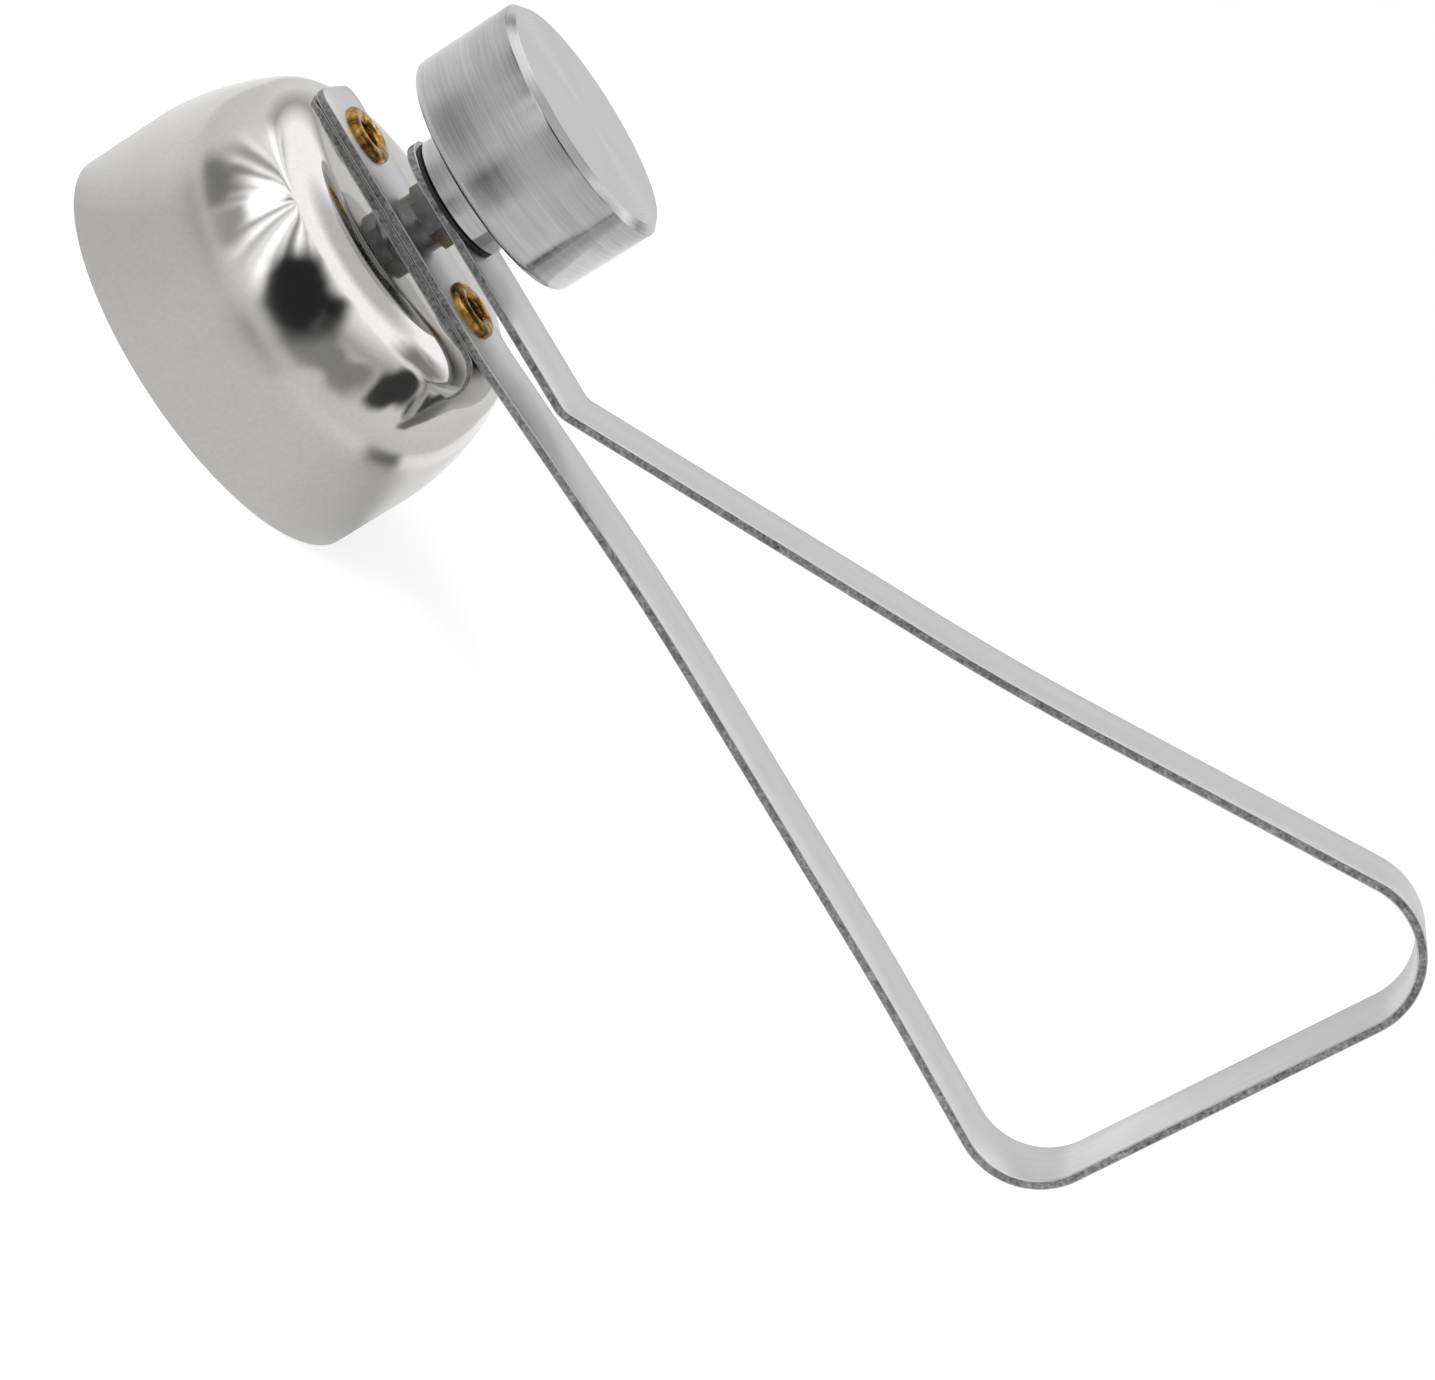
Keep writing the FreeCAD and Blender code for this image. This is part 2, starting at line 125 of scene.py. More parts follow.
# Studio that the metal reflects. Angles are in degrees: azimuth from -Y towards +X, and elevation.
DIFFUSE_LEVEL = 0.75
RIPPLE_SHIFT = 4
HEIGHT_STOPS = [(0.0, 0.8), (0.5, 0.78), (0.6, 0.88), (0.7, 0.5), (0.79, 1.35), (0.91, 1.35), (0.97, 0.7)]
UMBRELLA_CENTRE = (-50, 40)
UMBRELLA_EDGE = (40, 66)
UMBRELLA_FOOT = (-2, 14)
UMBRELLA_TOP = (32, 42)
# Each patch: (azimuth, elevation), (half width, half height), tone, softness
STUDIO_PATCHES = [
    ((-72, 2), (15, 12), 0.25, 0.5),
    ((-46, 6), (9, 10), 0.42, 0.5),
    ((-52, 22), (9, 8), 2.0, 0.5),
    ((38, 13), (28, 8), 0.3, 0.35),
    ((3, 21), (25, 17), 0.025, 0.3),
    ((80, 19), (14, 7), 0.05, 0.3),
    ((104, 17), (10, 6), 0.07, 0.3),
    ((100, 42), (26, 12), 0.3, 0.5),
]
# Painted reflection: the floor's glow, seen only in reflections, by azimuth, close to the bell and farther
# out
NEAR_REFLECTION_GLOW = [
    (-180, 1.0), (-120, 0.97), (-83, 0.87), (-55, 0.66), (-3, 0.72),
    (45, 0.74), (80, 0.66), (106, 0.5), (122, 0.92), (180, 0.95),
]
FAR_REFLECTION_GLOW = [
    (-180, 0.95), (-115, 0.95), (-83, 0.8), (-66, 0.5), (-52, 0.42), (-35, 0.46),
    (-14, 0.66), (-6, 0.5), (2, 0.2), (22, 0.45), (34, 0.85), (85, 0.92),
    (90, 0.08), (108, 0.08), (112, 1.1), (180, 1.05),
]
# Painted reflection: distances where the floor's glow goes from near to far, and where it fades to one even
# tone
REFLECTION_GLOW_CHANGE = (95 * MM, 115 * MM)
REFLECTION_GLOW_FADE = (200 * MM, 320 * MM)
REFLECTION_GLOW_FADE_TONE = 0.78
FLOOR_SIZE = 6
FLOOR_GLOW = 0.35

# Lamps: place, point aimed at, size, watts
KEY_LAMP = ((-0.35, -0.35, 0.5), (0.02, 0, 0.03), (0.35, 0.35), 2.0)
FILL_LAMP = ((0.45, -0.25, 0.45), (0.03, 0, 0.03), (0.5, 0.4), 1.0)


def to_object(name, mesh, materials):
    """Link a mesh with its materials, smooth except at real edges."""
    obj = bpy.data.objects.new(name, mesh)
    bpy.context.scene.collection.objects.link(obj)
    for material in materials:
        mesh.materials.append(material)
    mesh.polygons.foreach_set("use_smooth", [True] * len(mesh.polygons))
    mesh.set_sharp_from_angle(angle=SHARP_ANGLE)
    return obj


# Node helpers

def new_material(name):
    material = bpy.data.materials.new(name)
    material.use_nodes = True
    nodes = material.node_tree.nodes
    return material, nodes, material.node_tree.links, nodes["Principled BSDF"]


def metal(shader, colour, roughness, anisotropy=0.0):
    shader.inputs["Base Color"].default_value = (*colour, 1)
    shader.inputs["Metallic"].default_value = 1.0
    shader.inputs["Roughness"].default_value = roughness
    shader.inputs["Anisotropic"].default_value = anisotropy


def place_node(nodes, links, scale, source="Object"):
    """Coordinates stretched by a scale along each axis."""
    where = nodes.new("ShaderNodeTexCoord")
    mapping = nodes.new("ShaderNodeMapping")
    mapping.inputs["Scale"].default_value = scale
    links.new(where.outputs[source], mapping.inputs["Vector"])
    return mapping.outputs["Vector"]


def noise(nodes, links, vector, scale, detail=3.0, rough=0.55):
    texture = nodes.new("ShaderNodeTexNoise")
    texture.inputs["Scale"].default_value = scale
    texture.inputs["Detail"].default_value = detail
    texture.inputs["Roughness"].default_value = rough
    links.new(vector, texture.inputs["Vector"])
    return texture.outputs["Fac"]


def ramp(nodes, links, value, stops):
    """Map a 0 to 1 value onto grey or coloured stops."""
    node = nodes.new("ShaderNodeValToRGB")
    elements = node.color_ramp.elements
    while len(elements) < len(stops):
        elements.new(0.5)
    for element, (position, colour) in zip(elements, stops):
        element.position = position
        element.color = (*colour, 1) if isinstance(colour, tuple) else (colour, colour, colour, 1)
    links.new(value, node.inputs["Fac"])
    return node.outputs["Color"]


def span(nodes, links, value, low, high, to_low, to_high):
    node = nodes.new("ShaderNodeMapRange")
    node.interpolation_type = "SMOOTHSTEP"
    for socket, number in zip(("From Min", "From Max", "To Min", "To Max"), (low, high, to_low, to_high)):
        node.inputs[socket].default_value = number
    links.new(value, node.inputs["Value"])
    return node.outputs["Result"]


def math_node(nodes, links, operation, first, second):
    node = nodes.new("ShaderNodeMath")
    node.operation = operation
    for socket, value in zip(node.inputs, (first, second)):
        if isinstance(value, (int, float)):
            socket.default_value = value
        else:
            links.new(value, socket)
    return node.outputs["Value"]


def bump(nodes, links, shader, height, strength, distance):
    node = nodes.new("ShaderNodeBump")
    node.inputs["Strength"].default_value = strength
    node.inputs["Distance"].default_value = distance
    links.new(height, node.inputs["Height"])
    links.new(node.outputs["Normal"], shader.inputs["Normal"])


# Materials

def bell_material():
    """Satin flank with a faint grain, going over to a mirror shoulder and roof."""
    material, nodes, links, shader = new_material("bell_steel")
    metal(shader, (0.62, 0.62, 0.62), 0.2)
    where = nodes.new("ShaderNodeTexCoord")
    split = nodes.new("ShaderNodeSeparateXYZ")
    links.new(where.outputs["Object"], split.inputs["Vector"])
    grain_place = place_node(nodes, links, (1, 1, 0.7))
    grain = noise(nodes, links, grain_place, 2600, 4)
    cloud = noise(nodes, links, place_node(nodes, links, (1, 1, 1)), 160, 3)
    polish = span(nodes, links, split.outputs["Z"], SATIN_BELOW_Z, MIRROR_ABOVE_Z, 1, 0)
    satin = math_node(nodes, links, "MULTIPLY", polish, 0.2)
    varied = math_node(nodes, links, "MULTIPLY", math_node(nodes, links, "SUBTRACT", cloud, 0.5), 0.05)
    rough = math_node(nodes, links, "ADD", math_node(nodes, links, "ADD", satin, 0.07), varied)
    links.new(rough, shader.inputs["Roughness"])
    greys = [(0.3, (0.625, 0.616, 0.604)), (0.7, (0.66, 0.652, 0.64))]
    links.new(ramp(nodes, links, grain, greys), shader.inputs["Base Color"])
    height = math_node(nodes, links, "MULTIPLY", grain, polish)
    bump(nodes, links, shader, height, 0.03, 0.00002)
    return material


def strip_material():
    """Satin rolled faces with a fine grain along the strip."""
    material, nodes, links, shader = new_material("strip_steel")
    metal(shader, (0.66, 0.66, 0.655), 0.34)
    along = place_node(nodes, links, (40, 2600, 1), "UV")
    grain = noise(nodes, links, along, 1.0, 4)
    cloud = noise(nodes, links, place_node(nodes, links, (1, 1, 1)), 110, 3)
    links.new(ramp(nodes, links, grain, [(0.3, 0.62), (0.7, 0.69)]), shader.inputs["Base Color"])
    links.new(span(nodes, links, cloud, 0.3, 0.7, 0.3, 0.4), shader.inputs["Roughness"])
    bump(nodes, links, shader, grain, 0.05, 0.00002)
    return material


def edge_material():
    """Sheared edge: torn dark grain between two burnished lines."""
    material, nodes, links, shader = new_material("sheared_edge")
    metal(shader, (0.3, 0.3, 0.3), 0.5)
    torn = noise(nodes, links, place_node(nodes, links, (1, 1, 1)), 2600, 5, 0.7)
    blotch = noise(nodes, links, place_node(nodes, links, (1, 1, 1)), 700, 3)
    wear = math_node(nodes, links, "ADD", math_node(nodes, links, "MULTIPLY", torn, 0.7),
                     math_node(nodes, links, "MULTIPLY", blotch, 0.3))
    greys = [(0.36, 0.12), (0.5, 0.3), (0.64, 0.55)]
    links.new(ramp(nodes, links, wear, greys), shader.inputs["Base Color"])
    bump(nodes, links, shader, torn, 0.5, 0.00006)
    return material


def turned_material(name, tone, anisotropy):
    """Lathe-turned steel: rings about the axis, in colour, gloss and height."""
    material, nodes, links, shader = new_material(name)
    metal(shader, (tone, tone, tone), 0.26, anisotropy)
    tangent = nodes.new("ShaderNodeTangent")
    tangent.direction_type = "RADIAL"
    tangent.axis = "Z"
    links.new(tangent.outputs["Tangent"], shader.inputs["Tangent"])
    shader.inputs["Anisotropic Rotation"].default_value = 0.25
    fine = noise(nodes, links, place_node(nodes, links, (0.03, 0.03, 1)), 5200, 3, 0.6)
    coarse = noise(nodes, links, place_node(nodes, links, (0.02, 0.02, 1)), 900, 2)
    marks = math_node(nodes, links, "ADD", math_node(nodes, links, "MULTIPLY", fine, 0.6),
                      math_node(nodes, links, "MULTIPLY", coarse, 0.4))
    greys = [(0.32, tone * 0.8), (0.68, tone * 1.14)]
    links.new(ramp(nodes, links, marks, greys), shader.inputs["Base Color"])
    links.new(span(nodes, links, coarse, 0.3, 0.7, 0.12, 0.2), shader.inputs["Roughness"])
    bump(nodes, links, shader, fine, 0.12, 0.00002)
    return material


def face_material():
    """Faced knob top: concentric tool marks that stretch the light into a bow tie."""
    material, nodes, links, shader = new_material("knob_face")
    metal(shader, (0.62, 0.615, 0.61), 0.3, 0.75)
    tangent = nodes.new("ShaderNodeTangent")
    tangent.direction_type = "RADIAL"
    tangent.axis = "Z"
    links.new(tangent.outputs["Tangent"], shader.inputs["Tangent"])
    shader.inputs["Anisotropic Rotation"].default_value = 0.25
    where = nodes.new("ShaderNodeTexCoord")
    flat = nodes.new("ShaderNodeVectorMath")
    flat.operation = "MULTIPLY"
    flat.inputs[1].default_value = (1, 1, 0)
    links.new(where.outputs["Object"], flat.inputs[0])
    length = nodes.new("ShaderNodeVectorMath")
    length.operation = "LENGTH"
    links.new(flat.outputs["Vector"], length.inputs[0])
    radius = nodes.new("ShaderNodeCombineXYZ")
    links.new(length.outputs["Value"], radius.inputs["X"])
    rings = noise(nodes, links, radius.outputs["Vector"], 5200, 2)
    links.new(ramp(nodes, links, rings, [(0.3, 0.57), (0.7, 0.66)]), shader.inputs["Base Color"])
    bump(nodes, links, shader, rings, 0.08, 0.00002)
    return material


def brass_material():
    """Tumbled brass, mottled at random from dark brown to bright gold."""
    material, nodes, links, shader = new_material("rivet_brass")
    metal(shader, (0.62, 0.4, 0.12), 0.3)
    blotch = noise(nodes, links, place_node(nodes, links, (1, 1, 1)), 900, 4, 0.65)
    stops = [(0.34, (0.1, 0.045, 0.008)), (0.5, (0.42, 0.23, 0.045)), (0.68, (0.86, 0.58, 0.18))]
    links.new(ramp(nodes, links, blotch, stops), shader.inputs["Base Color"])
    links.new(span(nodes, links, blotch, 0.3, 0.7, 0.45, 0.22), shader.inputs["Roughness"])
    bump(nodes, links, shader, blotch, 0.4, 0.0001)
    return material


def plain_metal(name, tone, roughness, scale):
    """Bright small hardware with a light mottling."""
    material, nodes, links, shader = new_material(name)
    metal(shader, (tone, tone, tone), roughness)
    mottle = noise(nodes, links, place_node(nodes, links, (1, 1, 1)), scale, 4)
    greys = [(0.3, tone * 0.85), (0.7, tone * 1.1)]
    links.new(ramp(nodes, links, mottle, greys), shader.inputs["Base Color"])
    gloss = span(nodes, links, mottle, 0.3, 0.7, roughness * 0.8, roughness * 1.3)
    links.new(gloss, shader.inputs["Roughness"])
    bump(nodes, links, shader, mottle, 0.08, 0.00003)
    return material


def near_black_material():
    """Matt near-black finish with a faint mottle, given to the thrust washer."""
    material, nodes, links, shader = new_material("black_nylon")
    shader.inputs["Base Color"].default_value = (0.012, 0.012, 0.013, 1)
    mottle = noise(nodes, links, place_node(nodes, links, (1, 1, 1)), 1500, 3)
    links.new(ramp(nodes, links, mottle, [(0.3, 0.008), (0.7, 0.02)]), shader.inputs["Base Color"])
    links.new(span(nodes, links, mottle, 0.3, 0.7, 0.5, 0.7), shader.inputs["Roughness"])
    bump(nodes, links, shader, mottle, 0.15, 0.00003)
    return material


# Bent strip

def path_parts(points, radii):
    """Lines and tangent arcs of a bent path in the XZ plane, with the length of each."""
    parts = []
    here = Vector(points[0])
    for before, corner, after, radius in zip(points, points[1:], points[2:], radii):
        arriving = (Vector(corner) - Vector(before)).normalized()
        leaving = (Vector(after) - Vector(corner)).normalized()
        turn = math.atan2(arriving.x * leaving.y - arriving.y * leaving.x, arriving.dot(leaving))
        reach = radius * math.tan(abs(turn) / 2)
        start = Vector(corner) - arriving * reach
        parts.append(("line", here, arriving, (start - here).length, 0))
        parts.append(("arc", start, arriving, radius * abs(turn), math.copysign(1 / radius, turn)))
        here = Vector(corner) + leaving * reach
    last = Vector(points[-1]) - here
    parts.append(("line", here, last.normalized(), last.length, 0))
    return parts


def path_point(parts, run):
    """Point and direction at a distance along the path."""
    for kind, start, heading, length, curve in parts:
        if run <= length or (kind, start) == (parts[-1][0], parts[-1][1]):
            break
        run -= length
    if kind == "line":
        return start + heading * run, heading
    side = Vector((-heading.y, heading.x))
    angle = curve * run
    point = start + heading * (math.sin(angle) / curve) + side * ((1 - math.cos(angle)) / curve)
    return point, Matrix.Rotation(angle, 2) @ heading


def stations(parts, end_radius):
    """Distances along the path: even on the straights, closer on arcs and at the rounded start."""
    quarters = [math.pi / 2 * step / END_STEPS for step in range(1, END_STEPS + 1)]
    runs = [end_radius * 0.001] + [end_radius * (1 - math.cos(angle)) for angle in quarters]
    passed = 0.0
    for kind, _, _, length, curve in parts:
        step = STATION if kind == "line" else min(STATION, ARC_STEP / abs(curve))
        count = max(1, math.ceil(length / step))
        runs += [passed + length * k / count for k in range(1, count + 1)]
        passed += length
    kept = []
    for run in sorted(runs):
        if not kept or run - kept[-1] > SHORTEST_STEP:
            kept.append(run)
    return kept


def section(half_width, half_height, corner):
    """Rounded rectangle as (across, up) points, four to a corner, from the lower right one."""
    corner = min(corner, half_width * 0.9)
    points = []
    for quarter, (side, up) in enumerate(((1, -1), (1, 1), (-1, 1), (-1, -1))):
        centre = (side * (half_width - corner), up * (half_height - corner))
        for step in range(CORNER_POINTS):
            angle = math.radians(90 * (quarter - 1) + 90 * step / (CORNER_POINTS - 1))
            points.append((centre[0] + corner * math.cos(angle), centre[1] + corner * math.sin(angle)))
    return points


def strip_piece(name, points, radii, end_radius, materials):
    """Sweep the strip's section along its path, narrowing to a rounded start."""
    parts = path_parts(points, radii)
    half = STRIP_W / 2
    mesh = bpy.data.meshes.new(name)
    work = bmesh.new()
    uv = work.loops.layers.uv.new("run")
    rings = []
    for run in stations(parts, end_radius):
        centre, heading = path_point(parts, run)
        short = max(0.0, end_radius - run)
        width = half - end_radius + math.sqrt(max(0.0, end_radius ** 2 - short ** 2))
        up = Vector((-heading.y, heading.x))
        ring = []
        for across, rise in section(width, STRIP_T / 2, EDGE_BREAK):
            spot = centre + up * rise
            ring.append((work.verts.new((spot.x, across, spot.y)), run, across + rise))
        rings.append(ring)
    count = len(rings[0])
    for near, far in zip(rings, rings[1:]):
        for k in range(count):
            corners = [near[k], near[(k + 1) % count], far[(k + 1) % count], far[k]]
            face = work.faces.new([corner[0] for corner in corners])
            face.material_index = 1 if k in SHEARED_SIDES else 0
            for loop, corner in zip(face.loops, corners):
                loop[uv].uv = (corner[1], corner[2])
    for ring, flip in ((rings[0], True), (rings[-1], False)):
        verts = [entry[0] for entry in ring]
        cap = work.faces.new(verts if flip else verts[::-1])
        cap.material_index = 1
    bmesh.ops.recalc_face_normals(work, faces=work.faces)
    work.to_mesh(mesh)
    work.free()
    return to_object(name, mesh, materials)


def drill(obj, places, low, high):
    """Cut upright round holes, each given as (x, radius), with the sheared look inside."""
    for x, radius in places:
        bpy.ops.mesh.primitive_cylinder_add(vertices=HOLE_SIDES, radius=radius, depth=high - low,
                                            location=(x, 0, (low + high) / 2))
        cutter = bpy.context.active_object
        cutter.data.materials.append(obj.data.materials[1])
        hole = obj.modifiers.new("hole", "BOOLEAN")
        hole.operation = "DIFFERENCE"
        hole.solver = "EXACT"
        hole.object = cutter
        view = bpy.context.evaluated_depsgraph_get()
        cut = bpy.data.meshes.new_from_object(obj.evaluated_get(view))
        obj.modifiers.clear()
        obj.data = cut
        bpy.data.objects.remove(cutter)
    obj.data.set_sharp_from_angle(angle=SHARP_ANGLE)


# Turned pieces

def turned(name, profile, materials, closed, index_of=None, x=0.0, wave=0.0):
    """Turn an outline of (radius, height) points about an upright axis at x, round or a little wavy."""
    mesh = bpy.data.meshes.new(name)
    work = bmesh.new()
    rings = []
    for radius, height in profile:
        if radius < 1e-9:
            rings.append([work.verts.new((x, 0, height))])
            continue
        ring = []
        for step in range(TURN_STEPS):
            angle = 2 * math.pi * step / TURN_STEPS
            swell = 1 + wave * (math.sin(3 * angle + 0.7) + 0.6 * math.sin(5 * angle + 2.1))
            across, along = radius * swell * math.cos(angle), radius * swell * math.sin(angle)
            ring.append(work.verts.new((x + across, along, height)))
        rings.append(ring)
    pairs = list(zip(rings, rings[1:]))
    if closed:
        pairs.append((rings[-1], rings[0]))
    for row, (near, far) in enumerate(pairs):
        if len(near) == 1 and len(far) == 1:
            continue
        for step in range(TURN_STEPS):
            after = (step + 1) % TURN_STEPS
            verts = [near[step], near[after]] if len(near) > 1 else [near[0]]
            verts += [far[after], far[step]] if len(far) > 1 else [far[0]]
            face = work.faces.new(verts)
            if index_of:
                face.material_index = index_of(profile[row], profile[(row + 1) % len(profile)])
    bmesh.ops.recalc_face_normals(work, faces=work.faces)
    work.to_mesh(mesh)
    work.free()
    return to_object(name, mesh, materials)


def arc(centre, across, up, start, stop, steps):
    """Points on an ellipse's arc, angles in degrees."""
    angles = [math.radians(start + (stop - start) * k / steps) for k in range(steps + 1)]
    return [(centre[0] + across * math.cos(a), centre[1] + up * math.sin(a)) for a in angles]


def bell_piece(material):
    """Drawn cup: flank, two-arc shoulder, flat roof and a broken rim edge."""
    _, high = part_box("bell")
    rim = high.x
    top = high.z
    reach = rim - BELL_FLAT_R
    rise = top - BELL_FLANK_H
    large = (reach ** 2 + rise ** 2 - 2 * rise * SHOULDER_R) / (2 * (reach - SHOULDER_R))
    large_centre = (rim - large, BELL_FLANK_H)
    small_centre = (BELL_FLAT_R, top - SHOULDER_R)
    meet = math.degrees(math.atan2(rise - SHOULDER_R, large - reach))

    def shoulder(offset, steps):
        """The two arcs from flank to flat roof, moved inward by an offset."""
        lower = arc(large_centre, large - offset, large - offset, 0, meet, steps)
        return lower + arc(small_centre, SHOULDER_R - offset, SHOULDER_R - offset, meet, 90, steps)[1:]

    inner = rim - BELL_WALL
    outer = [(rim, RIM_BREAK)] + [(rim, BELL_FLANK_H * k / 4) for k in range(1, 4)]
    outer += shoulder(0, 30) + [(BELL_FLAT_R * 0.7, top), (0, top)]
    inside = [(0, top - BELL_WALL)] + shoulder(BELL_WALL, 18)[::-1]
    inside += [(inner, RIM_BREAK), (inner + RIM_BREAK, 0), (rim - RIM_BREAK, 0)]
    return turned("bell_shell", outer + inside, [material], True)


def knob_piece(side, face):
    """Collar, rounded back, side and chamfered top of the knob."""
    low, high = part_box("knob")
    knob_r, top = high.x, high.z
    back = (knob_r - KNOB_BACK_ROUND, KNOB_UNDER_Z + KNOB_BACK_ROUND)
    root = (COLLAR_R + COLLAR_ROOT_R, KNOB_UNDER_Z - COLLAR_ROOT_R)
    soft = KNOB_EDGE_SOFT
    outline = [(0, low.z), (COLLAR_R - COLLAR_CHAMFER, low.z), (COLLAR_R, low.z + COLLAR_CHAMFER)]
    outline += arc(root, COLLAR_ROOT_R, COLLAR_ROOT_R, 180, 90, 6)
    outline += arc(back, KNOB_BACK_ROUND, KNOB_BACK_ROUND, -90, 0, 10)
    outline += [(knob_r, top - KNOB_CHAMFER - soft), (knob_r - soft * 0.4, top - KNOB_CHAMFER + soft * 0.4),
                (knob_r - KNOB_CHAMFER - soft * 0.4, top - soft * 0.4), (knob_r - KNOB_CHAMFER - soft, top)]
    outline += [(knob_r * share, top) for share in (0.85, 0.6, 0.3, 0.05)] + [(0, top)]
    level = top - 1e-6

    def on_face(near, far):
        return 1 if near[1] > level and far[1] > level else 0
    return turned("knob_turned", outline, [side, face], False, on_face)


def rivet_piece(name, node, x, material):
    """Eyelet rivet: rolled head above, bore, clinched flange and shank below."""
    low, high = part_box(node)
    seat = high.z - RIVET_ROLL_H
    roof = low.z + RIVET_CLINCH_H
    head_r = (high.x - low.x) / 2
    middle = (head_r + RIVET_BORE_R) / 2
    reach = (head_r - RIVET_BORE_R) / 2
    crown = (middle, seat + RIVET_ROLL_H * 0.3)
    outline = [(head_r, seat)] + arc(crown, reach, RIVET_ROLL_H * 0.7, 0, 180, 18)
    outline += [(RIVET_BORE_R * 0.96, seat - RIVET_FUNNEL_H), (RIVET_BORE_R, low.z)]
    lip = RIVET_LIP_R
    outline += arc((RIVET_CLINCH_R - lip, low.z + lip), lip, lip, -90, 0, 5)
    outline += [(RIVET_CLINCH_R, roof), (RIVET_SHANK_R, roof), (RIVET_SHANK_R, seat)]
    return turned(name, outline, [material], True, x=x, wave=RIVET_WAVE)


# Surroundings

def lamp(name, place, look_at, size, watts):
    """Area lamp that lights the scene and stays out of reflections."""
    data = bpy.data.lights.new(name, "AREA")
    data.shape = "RECTANGLE"
    data.size, data.size_y = size
    data.energy = watts
    obj = bpy.data.objects.new(name, data)
    bpy.context.scene.collection.objects.link(obj)
    obj.location = place
    obj.rotation_euler = (Vector(look_at) - Vector(place)).to_track_quat("-Z", "Y").to_euler()
    obj.visible_glossy = False


def mixed(nodes, links, share, first, second):
    """Blend two values or sockets by a share from 0 to 1."""
    node = nodes.new("ShaderNodeMix")
    for socket, value in zip((node.inputs[0], node.inputs[2], node.inputs[3]), (share, first, second)):
        if isinstance(value, (int, float)):
            socket.default_value = value
        else:
            links.new(value, socket)
    return node.outputs[0]


def compass(nodes, links, vector):
    """Azimuth from -Y towards +X, and elevation, of a direction in degrees."""
    split = nodes.new("ShaderNodeSeparateXYZ")
    links.new(vector, split.inputs["Vector"])
    front = math_node(nodes, links, "MULTIPLY", split.outputs["Y"], -1)
    azimuth = math_node(nodes, links, "ARCTAN2", split.outputs["X"], front)
    elevation = math_node(nodes, links, "ARCSINE", split.outputs["Z"], 0)
    return (math_node(nodes, links, "DEGREES", azimuth, 0), math_node(nodes, links, "DEGREES", elevation, 0))


def root_of_squares(nodes, links, first, second):
    """Length of a step given by its two parts."""
    squares = []
    for value in (first, second):
        size = math_node(nodes, links, "ABSOLUTE", value, 0)
        squares.append(math_node(nodes, links, "POWER", size, 2))
    return math_node(nodes, links, "SQRT", math_node(nodes, links, "ADD", *squares), 0)


def patch(nodes, links, where, centre, reach, tone, under, soft):
    """Lay a soft-edged oval of a tone over what is under it."""
    offsets = []
    for socket, middle, half in zip(where, centre, reach):
        offset = math_node(nodes, links, "SUBTRACT", socket, middle)
        offsets.append(math_node(nodes, links, "DIVIDE", offset, half))
    distance = root_of_squares(nodes, links, *offsets)
    share = span(nodes, links, distance, 1 - soft, 1 + soft, 1, 0)
    return mixed(nodes, links, share, under, tone)


def umbrella(nodes, links, where, centre, under):
    """Ribbed umbrella light: bright and dim rays that spread from a point."""
    across = math_node(nodes, links, "SUBTRACT", where[0], centre[0])
    rise = math_node(nodes, links, "SUBTRACT", where[1], centre[1])
    angle = math_node(nodes, links, "ARCTAN2", rise, across)
    place = nodes.new("ShaderNodeCombineXYZ")
    links.new(angle, place.inputs["X"])
    rays = noise(nodes, links, place.outputs["Vector"], 3.4, 1.5)
    tone = span(nodes, links, rays, 0.36, 0.62, 0.18, 1.9)
    distance = root_of_squares(nodes, links, across, rise)
    share = span(nodes, links, distance, *UMBRELLA_EDGE, 1, 0)
    above = span(nodes, links, where[1], *UMBRELLA_FOOT, 0, 1)
    below = span(nodes, links, where[1], *UMBRELLA_TOP, 1, 0)
    share = math_node(nodes, links, "MULTIPLY", share, math_node(nodes, links, "MULTIPLY", above, below))
    return mixed(nodes, links, share, under, tone)


def make_world():
    """White to the camera; a plain level to bounced light; a soft studio to reflections."""
    world = bpy.data.worlds.new("studio")
    bpy.context.scene.world = world
    world.use_nodes = True
    nodes, links = world.node_tree.nodes, world.node_tree.links
    nodes.clear()
    where = nodes.new("ShaderNodeTexCoord")
    azimuth, elevation = compass(nodes, links, where.outputs["Generated"])
    ripple = noise(nodes, links, where.outputs["Generated"], 2.6, 1.5)
    shift = span(nodes, links, ripple, 0.3, 0.7, -RIPPLE_SHIFT, RIPPLE_SHIFT)
    spot = (math_node(nodes, links, "ADD", azimuth, shift), math_node(nodes, links, "ADD", elevation, shift))
    height = span(nodes, links, elevation, -90, 90, 0, 1)
    tone = ramp(nodes, links, height, HEIGHT_STOPS)
    tone = umbrella(nodes, links, (azimuth, elevation), UMBRELLA_CENTRE, tone)
    for centre, reach, shade, soft in STUDIO_PATCHES:
        tone = patch(nodes, links, spot, centre, reach, shade, tone, soft)
    rays = nodes.new("ShaderNodeLightPath")
    level = mixed(nodes, links, rays.outputs["Is Glossy Ray"], DIFFUSE_LEVEL, tone)
    level = mixed(nodes, links, rays.outputs["Is Camera Ray"], level, 1.0)
    room = nodes.new("ShaderNodeBackground")
    links.new(level, room.inputs["Color"])
    out = nodes.new("ShaderNodeOutputWorld")
    links.new(room.outputs["Background"], out.inputs["Surface"])


